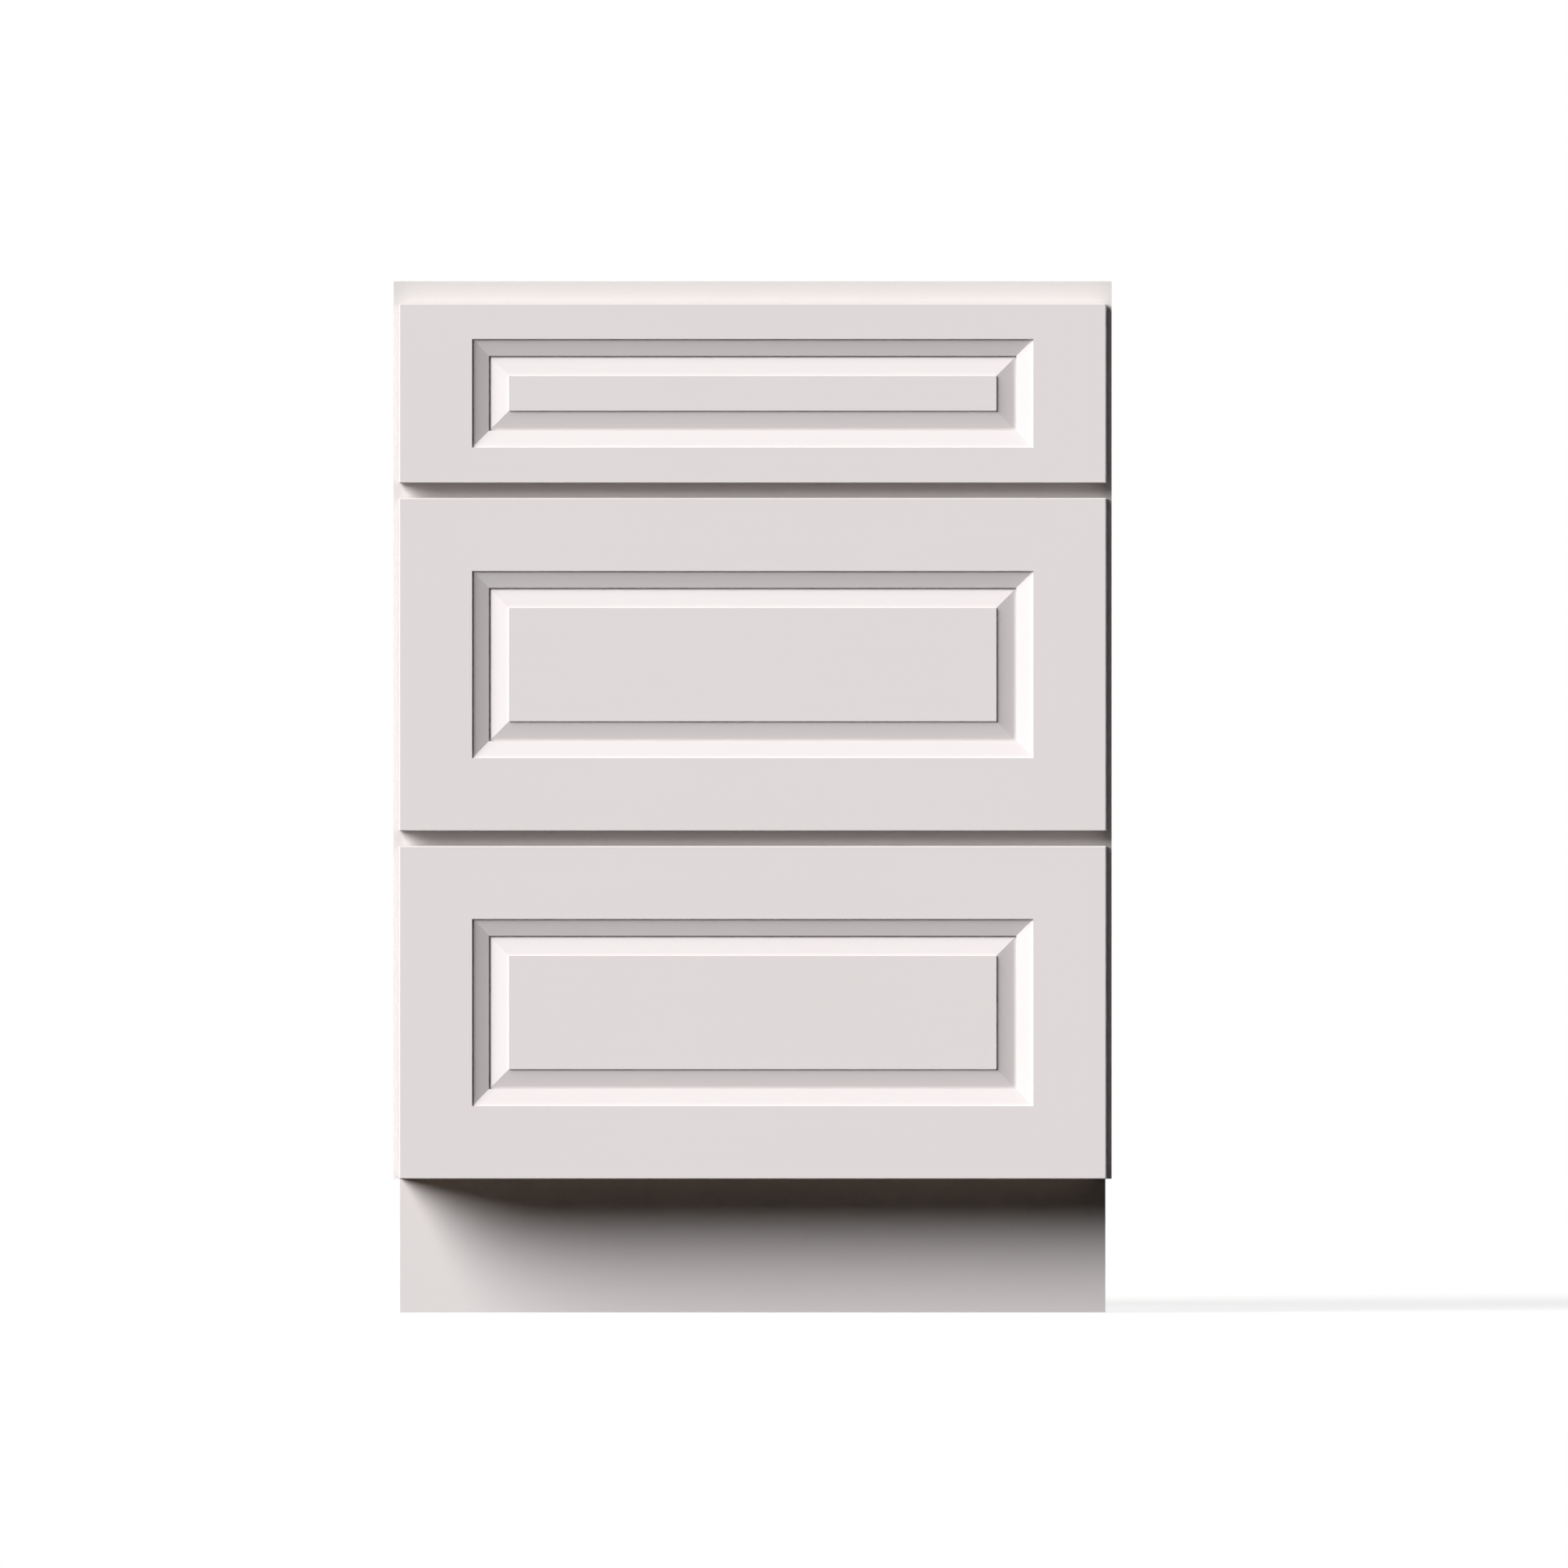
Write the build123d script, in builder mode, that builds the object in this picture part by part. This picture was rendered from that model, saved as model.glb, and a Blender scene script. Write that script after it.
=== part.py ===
from build123d import *
from collections import namedtuple
from math import atan2, degrees
import os

# A kitchen base cabinet with three drawers: plywood carcass, hardwood face frame, full-overlay
# raised-panel fronts, dovetailed drawer boxes and full-extension undermount slides.
# Millimetres. +Z is up, the drawers open towards -Y, and the origin is on the floor, in the
# middle of the footprint.

# Carcass
cabinet_width = 609.6  # across the face frame
cabinet_height = 876.3  # floor to the underside of the worktop
cabinet_depth = 609.6  # front of the face frame to the wall
toe_height = 114.3
toe_recess = 76.2  # toe board behind the face frame
scribe_overhang = 4.7625  # face frame past each side panel
panel_thickness = 12.7
housing_depth = 6.35  # grooves that hold the carcass boards
deck_lip = 6.35  # face frame below the bottom panel
hanging_rail_height = 76.2

# Corner braces
brace_leg = 76.0
brace_depth = 24.0
brace_wall = 4.0
brace_toe = 14.0  # blunt end of each leg
brace_hole_inset = 28.0
brace_hole_radius = 2.5
brace_boss_radius = 7.0
brace_boss_depth = 9.0

# Face frame
frame_thickness = 19.05
frame_width = 38.1  # stiles and rails
tenon_length = 12.7
tenon_thickness = 6.35
tenon_shoulder = 6.35

# Drawer fronts
front_thickness = 19.05
front_reveal = 4.7625  # face frame showing beside the fronts
top_reveal = 19.05
front_gap = 12.7
top_front_height = 152.4
front_stile_width = 76.2
top_front_rail_width = 44.45
deep_front_rail_width = 76.2
front_edge_radius = 1.0
sticking_width = 14.2875  # moulded inner edge of the frame members
sticking_quirk = 1.4  # step at the arris
sticking_drop = 6.2  # depth where the moulding ends
groove_face = 8.1  # depth of the panel groove's front wall
front_groove_depth = 9.525
panel_tongue = 6.0
panel_play = 0.2
panel_float = 1.5  # room for the panel to swell
panel_bevel_width = 17.0
panel_bevel_rise = 4.3
panel_field_step = 1.3
bumper_gap = 1.6  # closed front to face frame
bumper_radius = 4.0
bumper_inset = 15.0
bumper_play = 0.1

# Drawer boxes
box_thickness = 15.875
side_clearance = 5.1  # drawer box to face frame opening
slide_rear_room = 76.2  # cabinet depth behind the drawer boxes
box_headroom = 14.2875
box_edge_radius = 1.5
tail_pitch = 25.4
pin_width = 7.0
tail_slope = 0.125
dovetail_lap = 4.875
bottom_thickness = 6.35
bottom_recess = 12.7  # drawer bottom above the side's lower edge
box_groove_depth = 6.35
bottom_play = 0.2

# Undermount slides
runner_lift = 14.2875  # drawer box above the opening
floor_gap = 0.8
steel = 1.2
slide_play = 0.3
member_gap = 1.2  # between cabinet member and drawer member
rail_inset = 1.1  # channel inside the drawer side
rail_width = 24.0
rail_headroom = 0.5
lip_width = 6.0
wing_height = 36.0
wing_rear_gap = 45.0
runner_setback = 3.0
runner_screw_spacing = 18.0
glide_setback = 40.0
glide_shortfall = 76.2
flange_edge = 1.0
hook_rise = 8.0  # hook above the drawer bottom
hook_radius = 2.75
hook_length = 9.0
hook_margin = 5.0
notch_room = 3.0

# Rear brackets
bracket_base = 5.0
bracket_wall = 2.5
bracket_side = 12.0  # base plate beyond the channel, each side
bracket_above = 26.0
bracket_below = 14.0
bracket_tray = 30.0  # channel length held in the tray
bracket_rim = 2.0
bracket_screw_edge = 8.0

# Locking devices
lock_width = 34.0
lock_length = 42.0
lock_wall = 2.5
lock_clear = 1.0
lever_low = 3.0
lever_thickness = 5.0
lever_hub_radius = 6.0
lever_arm_width = 8.0
pivot_radius = 2.5
pivot_play = 0.1
pivot_boss_radius = 5.0
pivot_head_radius = 4.2
pivot_head_height = 1.2
pivot_inset = 13.0  # from the channel side of the housing
pivot_reach = 26.0  # behind the drawer box front
tooth_width = 6.0
tooth_reach = 12.0
tooth_swing = 2.6  # room for the tooth as the lever turns
tooth_play = 0.4
tooth_tip_gap = 0.1
finger_run = 26.0
finger_reach = 10.0
finger_radius = 6.5
finger_drop = 8.0

# Screws
screw_sides = 8  # facets round each screw and its bore
screw_radius = 1.8
screw_head_radius = 4.0
screw_head_height = 2.2
screw_head_taper = 25  # degrees
screw_tip_taper = 40  # degrees
screw_tip_cover = 0.8  # panel left over the tip
pilot_play = 0.1
pilot_overrun = 0.3
front_screw_grip = 12.0
front_screw_rise = 11.0  # lower row above the drawer bottom
front_screw_drop = 20.0  # upper row below the top edge
lock_screw_radius = 1.4
lock_screw_head_radius = 2.6
lock_screw_head_height = 1.5
lock_screw_length = 11.0
lock_screw_inset = 7.0
lock_screw_rise = 5.5

# Places across the width
half_width = cabinet_width / 2
carcass_half = half_width - scribe_overhang
inner_half = carcass_half - panel_thickness
opening_half = half_width - frame_width
box_half = opening_half - side_clearance
box_inner_half = box_half - box_thickness
front_half = half_width - front_reveal

# Places from front to back
overall_depth = cabinet_depth + bumper_gap + front_thickness
front_y = -overall_depth / 2
front_back_y = front_y + front_thickness
frame_y = front_back_y + bumper_gap
frame_back_y = frame_y + frame_thickness
frame_middle_y = frame_y + frame_thickness / 2
side_front_y = frame_back_y - housing_depth
toe_y = frame_y + toe_recess
wall_y = overall_depth / 2
back_rear_y = wall_y - panel_thickness
back_front_y = back_rear_y - panel_thickness
box_depth = cabinet_depth - slide_rear_room
box_inner_front_y = front_back_y + box_thickness
box_rear_y = front_back_y + box_depth
box_inner_rear_y = box_rear_y - box_thickness
runner_y = frame_y + runner_setback
runner_end_y = runner_y + box_depth

# Heights
deck_z = toe_height + deck_lip
deck_top_z = deck_z + panel_thickness
frame_height = cabinet_height - toe_height
deep_front_height = (frame_height - top_reveal - top_front_height - 2 * front_gap) / 2
top_front_z = cabinet_height - top_reveal - top_front_height
middle_front_z = top_front_z - front_gap - deep_front_height
top_rail_z = cabinet_height - frame_width
upper_rail_z = top_front_z - front_gap / 2 - frame_width / 2
lower_rail_z = middle_front_z - front_gap / 2 - frame_width / 2
rail_heights = (top_rail_z, upper_rail_z, lower_rail_z, toe_height)
box_rise = frame_width + runner_lift  # drawer box above the rail under it
top_box_height = top_rail_z - upper_rail_z - box_rise - box_headroom
deep_box_height = lower_rail_z - toe_height - box_rise - box_headroom

# Slide section: across from the drawer box's outer face, and up from its lower edge
rail_in = box_thickness + rail_inset
rail_out = rail_in + rail_width
rail_middle = (rail_in + rail_out) / 2
lower_base = floor_gap - runner_lift
lower_lips = -steel - member_gap
upper_base = bottom_recess - rail_headroom
upper_lips = member_gap
hook_height = bottom_recess + bottom_thickness + hook_rise
tray_y = runner_end_y - bracket_tray
bracket_front_y = back_front_y - bracket_base

# Locking device section, in the same terms
lock_near = rail_out + slide_play
lock_far = lock_near + lock_width
lock_plate = bottom_recess - lock_wall
lever_top = lever_low + lever_thickness
pivot_across = lock_near + pivot_inset
pivot_y = box_inner_front_y + pivot_reach
tooth_y = box_inner_front_y + tooth_reach
tooth_tip = rail_out - steel + tooth_tip_gap

# Screws
wood_screw_length = brace_wall + panel_thickness - screw_tip_cover
wood_pilot_depth = wood_screw_length + pilot_overrun
front_screw_length = box_thickness + front_screw_grip
pilot_radius = screw_radius + pilot_play
lock_pilot_radius = lock_screw_radius + pilot_play
front_screw_half = (box_inner_half + front_half - front_stile_width + front_groove_depth) / 2

Drawer = namedtuple("Drawer", "name front_z front_height rail_width box_z box_height")
drawers = (
    Drawer(
        "top_drawer",
        top_front_z,
        top_front_height,
        top_front_rail_width,
        upper_rail_z + box_rise,
        top_box_height,
    ),
    Drawer(
        "middle_drawer",
        middle_front_z,
        deep_front_height,
        deep_front_rail_width,
        lower_rail_z + box_rise,
        deep_box_height,
    ),
    Drawer(
        "bottom_drawer",
        toe_height,
        deep_front_height,
        deep_front_rail_width,
        toe_height + box_rise,
        deep_box_height,
    ),
)


def span(low_x, high_x, low_y, high_y, mode=Mode.ADD):
    """A rectangle in the open sketch, from its low corner to its high corner."""
    with Locations(((low_x + high_x) / 2, (low_y + high_y) / 2)):
        Rectangle(high_x - low_x, high_y - low_y, mode=mode)


def arm(start, end, width):
    """A round-ended bar in the open sketch, between two centres."""
    reach = Vector(*end) - Vector(*start)
    with Locations((Vector(*start) + Vector(*end)) / 2):
        SlotCenterToCenter(reach.length, width, rotation=degrees(atan2(reach.Y, reach.X)))


def front_plane(x, y, z):
    """An upright plane that faces the front, with x to the right and y up."""
    return Plane((x, y, z), x_dir=(1, 0, 0), z_dir=(0, -1, 0))


def slide_plane(y, drawer):
    """The section plane of the left-hand slide: x runs inwards from the drawer box, y up."""
    return front_plane(-box_half, y, drawer.box_z)


def both_sides(seats):
    """The left-hand seats and their mirror images."""
    right = [
        Plane((-s.origin.X, s.origin.Y, s.origin.Z), z_dir=(-s.z_dir.X, s.z_dir.Y, s.z_dir.Z))
        for s in seats
    ]
    return list(seats) + right


def save(piece, name):
    """Label a finished piece and write it as its own node."""
    piece.part.label = name
    export_step(piece.part, f"parts/{name}.step")


# Screw seats: each plane lies under a screw head and faces the way the head does


def runner_seats(drawer):
    """Two screws through the runner's wing into the face frame stile."""
    wing_x = -opening_half + steel
    middle_z = drawer.box_z + lower_base + wing_height / 2
    return [
        Plane((wing_x, frame_middle_y, middle_z + offset), z_dir=(1, 0, 0))
        for offset in (-runner_screw_spacing / 2, runner_screw_spacing / 2)
    ]


def bracket_seats(drawer):
    """Two screws through a rear bracket into the back panel."""
    low = lower_base - bracket_wall - bracket_below + bracket_screw_edge
    high = lower_lips + bracket_above - bracket_screw_edge
    return [
        Plane((rail_middle - box_half, bracket_front_y, drawer.box_z + up), z_dir=(0, -1, 0))
        for up in (low, high)
    ]


def front_seats(drawer):
    """Two screws through the box front into one stile of the drawer front."""
    low_z = drawer.box_z + bottom_recess + bottom_thickness + front_screw_rise
    high_z = drawer.box_z + drawer.box_height - front_screw_drop
    return [
        Plane((-front_screw_half, box_inner_front_y, z), z_dir=(0, 1, 0))
        for z in (low_z, high_z)
    ]


def lock_seats(drawer):
    """Two screws through a lock housing into the box front."""
    seat_y = box_inner_front_y + lock_wall
    return [
        Plane((across - box_half, seat_y, drawer.box_z + lock_screw_rise), z_dir=(0, 1, 0))
        for across in (lock_near + lock_screw_inset, lock_far - lock_screw_inset)
    ]


brace_seat_z = cabinet_height - (brace_wall + brace_depth) / 2
brace_run = (brace_leg + brace_wall) / 2
brace_side_x = -inner_half + brace_wall
brace_side_seats = [
    Plane((brace_side_x, y, brace_seat_z), z_dir=(1, 0, 0))
    for y in (frame_back_y + brace_run, back_front_y - brace_run)
]
brace_frame_seat = Plane(
    (brace_run - inner_half, frame_back_y + brace_wall, brace_seat_z), z_dir=(0, 1, 0)
)
brace_back_seat = Plane(
    (brace_run - inner_half, back_front_y - brace_wall, brace_seat_z), z_dir=(0, -1, 0)
)
all_runner_seats = [seat for drawer in drawers for seat in runner_seats(drawer)]
all_bracket_seats = [seat for drawer in drawers for seat in bracket_seats(drawer)]

os.makedirs("parts", exist_ok=True)

# Side panels, notched at the toe, grooved for the bottom panel and the back panel
with BuildPart() as side_panel_left:
    with BuildSketch(Plane.YZ.offset(-carcass_half)):
        Polygon(
            (toe_y + panel_thickness, 0),
            (wall_y, 0),
            (wall_y, cabinet_height),
            (side_front_y, cabinet_height),
            (side_front_y, toe_height),
            (toe_y, toe_height),
            (toe_y, deck_z),
            (toe_y + panel_thickness, deck_z),
            align=None,
        )
    extrude(amount=panel_thickness)
    with BuildSketch(Plane.YZ.offset(-inner_half)):
        span(frame_back_y, back_front_y, deck_z, deck_top_z)
        span(back_front_y, back_rear_y, deck_z, cabinet_height)
    extrude(amount=-housing_depth, mode=Mode.SUBTRACT)
    with BuildSketch(*brace_side_seats):
        RegularPolygon(pilot_radius, screw_sides)
    extrude(amount=-wood_pilot_depth, mode=Mode.SUBTRACT)

with BuildPart() as side_panel_right:
    mirror(side_panel_left.part, about=Plane.YZ)

# Bottom panel, with a tongue that enters the bottom rail of the face frame
with BuildPart() as bottom_panel:
    with BuildSketch(Plane.XY.offset(deck_z)):
        span(-inner_half - housing_depth, inner_half + housing_depth, frame_back_y, back_front_y)
        span(-opening_half, opening_half, side_front_y, frame_back_y)
    extrude(amount=panel_thickness)

with BuildPart() as back_panel:
    with BuildSketch(Plane.XY.offset(deck_z)):
        span(-inner_half - housing_depth, inner_half + housing_depth, back_front_y, back_rear_y)
    extrude(amount=cabinet_height - deck_z)
    with BuildSketch(*both_sides(all_bracket_seats + [brace_back_seat])):
        RegularPolygon(pilot_radius, screw_sides)
    extrude(amount=-wood_pilot_depth, mode=Mode.SUBTRACT)

with BuildPart() as toe_kick_board:
    with BuildSketch(Plane.XY):
        span(-carcass_half, carcass_half, toe_y, toe_y + panel_thickness)
    extrude(amount=deck_z)

# Hanging rails, behind the back panel and flush with the wall side
with BuildPart() as hanging_rails:
    with BuildSketch(Plane.XZ.offset(-back_rear_y)):
        span(-inner_half, inner_half, cabinet_height - hanging_rail_height, cabinet_height)
        span(-inner_half, inner_half, deck_z, deck_z + hanging_rail_height)
    extrude(amount=-panel_thickness)

# Moulded corner braces: a plate flush with the top, two flanges and a bossed worktop screw hole
with BuildPart() as corner_braces:
    brace_plane = Plane((-inner_half, frame_back_y, cabinet_height))
    with BuildSketch(brace_plane):
        Polygon(
            (0, 0),
            (brace_leg, 0),
            (brace_leg, brace_toe),
            (brace_toe, brace_leg),
            (0, brace_leg),
            align=None,
        )
    extrude(amount=-brace_wall)
    with BuildSketch(brace_plane):
        span(0, brace_leg, 0, brace_wall)
        span(0, brace_wall, 0, brace_leg)
    extrude(amount=-brace_depth)
    with BuildSketch(brace_plane):
        with Locations((brace_hole_inset, brace_hole_inset)):
            Circle(brace_boss_radius)
    extrude(amount=-brace_boss_depth)
    with Locations((brace_hole_inset - inner_half, frame_back_y + brace_hole_inset, cabinet_height)):
        Hole(brace_hole_radius, depth=brace_depth)
    with BuildSketch(brace_side_seats[0], brace_frame_seat):
        RegularPolygon(pilot_radius, screw_sides)
    extrude(amount=-brace_wall, mode=Mode.SUBTRACT)
    mirror(about=Plane.XZ.offset(-(frame_back_y + back_front_y) / 2))
    mirror(about=Plane.YZ)

# Face frame stiles, mortised for the rails and housed over the side panels
with BuildPart() as frame_stile_left:
    with BuildSketch(Plane.XY.offset(toe_height)):
        span(-half_width, -opening_half, frame_y, frame_back_y)
        span(-carcass_half, -inner_half, side_front_y, frame_back_y, mode=Mode.SUBTRACT)
    extrude(amount=frame_height)
    with BuildSketch(Plane.YZ.offset(-opening_half)):
        for rail_z in rail_heights:
            with Locations((frame_middle_y, rail_z + frame_width / 2)):
                Rectangle(tenon_thickness, frame_width - 2 * tenon_shoulder)
    extrude(amount=-tenon_length, mode=Mode.SUBTRACT)
    with BuildSketch(*all_runner_seats):
        RegularPolygon(pilot_radius, screw_sides)
    extrude(amount=-wood_pilot_depth, mode=Mode.SUBTRACT)

with BuildPart() as frame_stile_right:
    mirror(frame_stile_left.part, about=Plane.YZ)


def make_frame_rail(rail_z):
    """A face frame rail between the stiles, with a tenon at each end."""
    middle_z = rail_z + frame_width / 2
    with BuildPart() as rail:
        with BuildSketch(front_plane(0, frame_middle_y, middle_z)):
            Rectangle(2 * opening_half, frame_width)
        extrude(amount=frame_thickness / 2, both=True)
        with BuildSketch(front_plane(0, frame_middle_y, middle_z)):
            Rectangle(2 * (opening_half + tenon_length), frame_width - 2 * tenon_shoulder)
        extrude(amount=tenon_thickness / 2, both=True)
    return rail


frame_upper_rail = make_frame_rail(upper_rail_z)
frame_lower_rail = make_frame_rail(lower_rail_z)

with BuildPart() as frame_top_rail:
    add(make_frame_rail(top_rail_z).part)
    with BuildSketch(*both_sides([brace_frame_seat])):
        RegularPolygon(pilot_radius, screw_sides)
    extrude(amount=-wood_pilot_depth, mode=Mode.SUBTRACT)

with BuildPart() as frame_bottom_rail:
    add(make_frame_rail(toe_height).part)
    with BuildSketch(Plane.XY.offset(deck_z)):
        span(-opening_half, opening_half, side_front_y, frame_back_y)
    extrude(amount=panel_thickness, mode=Mode.SUBTRACT)


def make_screw(radius, length, head_radius, head_height):
    """A pan-head screw, head up, with the underside of its head at the origin."""
    with BuildPart() as screw:
        with BuildSketch(Plane.XY):
            RegularPolygon(head_radius, screw_sides)
        extrude(amount=head_height, taper=screw_head_taper)
        with BuildSketch(Plane.XY):
            RegularPolygon(radius, screw_sides)
        extrude(amount=radius - length)
        with BuildSketch(Plane.YX.offset(length - radius)):
            RegularPolygon(radius, screw_sides)
        extrude(amount=radius, taper=screw_tip_taper)
    return screw


wood_screw = make_screw(screw_radius, wood_screw_length, screw_head_radius, screw_head_height)
front_screw = make_screw(screw_radius, front_screw_length, screw_head_radius, screw_head_height)
lock_screw = make_screw(
    lock_screw_radius, lock_screw_length, lock_screw_head_radius, lock_screw_head_height
)

with BuildPart() as carcass_screws:
    with Locations(*all_runner_seats, *all_bracket_seats, *brace_side_seats):
        add(wood_screw.part)
    with Locations(brace_frame_seat, brace_back_seat):
        add(wood_screw.part)
    mirror(about=Plane.YZ)


def channel(base, lips):
    """Points of a lipped channel section, from its closed base to its inturned lips."""
    wall = steel if lips > base else -steel
    return (
        (rail_in, base),
        (rail_out, base),
        (rail_out, lips),
        (rail_out - lip_width, lips),
        (rail_out - lip_width, lips - wall),
        (rail_out - steel, lips - wall),
        (rail_out - steel, base + wall),
        (rail_in + steel, base + wall),
        (rail_in + steel, lips - wall),
        (rail_in + lip_width, lips - wall),
        (rail_in + lip_width, lips),
        (rail_in, lips),
    )


def make_runners(drawer):
    """The cabinet members of a pair of slides: a channel with a wing that stands on the stile."""
    with BuildPart() as runners:
        with BuildSketch(slide_plane(runner_y, drawer)):
            Polygon(*channel(lower_base, lower_lips), align=None)
        extrude(amount=-box_depth)
        with BuildSketch(slide_plane(runner_y, drawer)):
            span(-side_clearance, rail_in, lower_base, lower_base + steel)
            span(-side_clearance, steel - side_clearance, lower_base, lower_base + wing_height)
        extrude(amount=wing_rear_gap - box_depth)
        with BuildSketch(*runner_seats(drawer)):
            RegularPolygon(pilot_radius, screw_sides)
        extrude(amount=-steel, mode=Mode.SUBTRACT)
        mirror(about=Plane.YZ)
    return runners


def make_glides(drawer):
    """The intermediate members: hollow beams whose flanges run in the other two members."""
    flange_in = rail_in + steel + slide_play
    flange_out = rail_out - steel - slide_play
    web_in = rail_in + lip_width + slide_play
    web_out = rail_out - lip_width - slide_play
    play = steel + slide_play
    with BuildPart() as glides:
        with BuildSketch(slide_plane(frame_y + glide_setback, drawer)):
            span(flange_in, flange_out, lower_base + play, lower_lips - play)
            span(web_in, web_out, lower_base + play, upper_base - play)
            span(flange_in, flange_out, upper_lips + play, upper_base - play)
            offset(amount=-steel, kind=Kind.INTERSECTION, mode=Mode.SUBTRACT)
        extrude(amount=glide_shortfall - box_depth)
        mirror(about=Plane.YZ)
    return glides


def make_slide_members(drawer):
    """The drawer members: a channel, a flange under the drawer side, a latch slot and a hook."""
    member_y = box_inner_front_y + slide_play
    hook_y = box_rear_y + slide_play
    slot_low_y = tooth_y - tooth_width / 2 - tooth_swing
    slot_high_y = tooth_y + tooth_width / 2 + tooth_play
    with BuildPart() as members:
        with BuildSketch(slide_plane(member_y, drawer)):
            Polygon(*channel(upper_base, upper_lips), align=None)
            span(rail_in, rail_in + steel, -steel, upper_lips)
            span(flange_edge, rail_in, -steel, 0)
        extrude(amount=member_y - hook_y - steel)
        with BuildSketch(Plane.YZ.offset(rail_out - steel - box_half)):
            span(
                slot_low_y,
                slot_high_y,
                drawer.box_z + lever_low - tooth_play,
                drawer.box_z + lever_top + tooth_play,
            )
        extrude(amount=steel, mode=Mode.SUBTRACT)
        with BuildSketch(slide_plane(hook_y, drawer)):
            span(rail_in, rail_out, upper_base - steel, hook_height + hook_margin)
        extrude(amount=-steel)
        with BuildSketch(slide_plane(hook_y, drawer)):
            with Locations((rail_middle, hook_height)):
                Circle(hook_radius)
        extrude(amount=hook_length)
        mirror(about=Plane.YZ)
    return members


with BuildPart() as slide_rear_brackets:
    for drawer in drawers:
        floor_low = lower_base - bracket_wall
        base_low = floor_low - bracket_below
        base_high = lower_lips + bracket_above
        rim = drawer.box_z + lower_lips - bracket_rim
        tray_near = rail_in - slide_play
        tray_far = rail_out + slide_play
        with BuildSketch(slide_plane(bracket_front_y, drawer)):
            span(rail_in - bracket_side, rail_out + bracket_side, base_low, base_high)
        extrude(amount=-bracket_base)
        with BuildSketch(slide_plane(tray_y, drawer)):
            span(tray_near, tray_far, floor_low, lower_base)
        extrude(amount=tray_y - bracket_front_y)
        for wall_x in (tray_near - bracket_wall, tray_far):
            with BuildSketch(Plane.YZ.offset(wall_x - box_half)):
                Polygon(
                    (tray_y, drawer.box_z + floor_low),
                    (bracket_front_y, drawer.box_z + base_low),
                    (bracket_front_y, rim),
                    (tray_y, rim),
                    align=None,
                )
            extrude(amount=bracket_wall)
        with BuildSketch(*bracket_seats(drawer)):
            RegularPolygon(pilot_radius, screw_sides)
        extrude(amount=-bracket_base, mode=Mode.SUBTRACT)
    mirror(about=Plane.YZ)


def front_section(width):
    """Points of a front member's section, from its outer edge across and from its face back."""
    groove_back = groove_face + panel_tongue + 2 * panel_play
    return (
        (0, 0),
        (width - sticking_width, 0),
        (width - sticking_width, sticking_quirk),
        (width, sticking_drop),
        (width, groove_face),
        (width - front_groove_depth, groove_face),
        (width - front_groove_depth, groove_back),
        (width, groove_back),
        (width, front_thickness),
        (0, front_thickness),
    )


def make_front_stiles(drawer):
    """The upright members of a drawer front, with the moulding and panel groove at full length."""
    with BuildPart() as stiles:
        with BuildSketch(Plane((-front_half, front_y, drawer.front_z))):
            Polygon(*front_section(front_stile_width), align=None)
        extrude(amount=drawer.front_height)
        ends = stiles.edges().filter_by(Axis.X).group_by(Axis.Y)[0]
        outer = stiles.edges().filter_by(Axis.Z).group_by(Axis.Y)[0].sort_by(Axis.X)[0]
        fillet([*ends, outer], radius=front_edge_radius)
        with BuildSketch(*front_seats(drawer)):
            RegularPolygon(pilot_radius, screw_sides)
        extrude(amount=-(front_screw_length + pilot_overrun), mode=Mode.SUBTRACT)
        mirror(about=Plane.YZ)
    return stiles


def make_front_rails(drawer):
    """The cross members of a drawer front, coped over the stiles' moulding, with stub tenons."""
    rail_half = front_half - front_stile_width + sticking_width
    low_z = drawer.front_z
    high_z = drawer.front_z + drawer.front_height
    bottom_end = Plane((rail_half, front_y, low_z), x_dir=(0, 0, 1), z_dir=(-1, 0, 0))
    top_end = Plane((-rail_half, front_y, high_z), x_dir=(0, 0, -1), z_dir=(1, 0, 0))
    left_foot = Plane((-front_half, front_y, low_z), x_dir=(1, 0, 0), z_dir=(0, 0, 1))
    right_head = Plane((front_half, front_y, high_z), x_dir=(-1, 0, 0), z_dir=(0, 0, -1))
    with BuildPart() as rails:
        with BuildSketch(bottom_end, top_end):
            Polygon(*front_section(drawer.rail_width), align=None)
        extrude(amount=2 * rail_half)
        face_edges = rails.edges().filter_by(Axis.X).group_by(Axis.Y)[0].sort_by(Axis.Z)
        fillet([face_edges[0], face_edges[-1]], radius=front_edge_radius)
        with BuildSketch(left_foot, right_head):
            Polygon(*front_section(front_stile_width), align=None)
        extrude(amount=drawer.front_height, mode=Mode.SUBTRACT)
    return rails


def make_front_panel(drawer):
    """The raised panel: a tongue all round, a wide bevel and a flat field."""
    middle_z = drawer.front_z + drawer.front_height / 2
    sight_x = 2 * (front_half - front_stile_width)
    sight_z = drawer.front_height - 2 * drawer.rail_width
    tongue = front_groove_depth - panel_float
    face_y = front_y + groove_face + panel_play
    field_y = face_y - panel_bevel_rise
    field_x = sight_x - 2 * panel_bevel_width
    field_z = sight_z - 2 * panel_bevel_width
    with BuildPart() as panel:
        with BuildSketch(front_plane(0, face_y, middle_z)):
            Rectangle(sight_x + 2 * tongue, sight_z + 2 * tongue)
        extrude(amount=-panel_tongue)
        with BuildSketch(front_plane(0, face_y, middle_z)):
            Rectangle(sight_x, sight_z)
        with BuildSketch(front_plane(0, field_y, middle_z)):
            Rectangle(field_x, field_z)
        loft(ruled=True)
        with BuildSketch(front_plane(0, field_y, middle_z)):
            Rectangle(field_x, field_z)
        extrude(amount=panel_field_step)
    return panel


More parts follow.
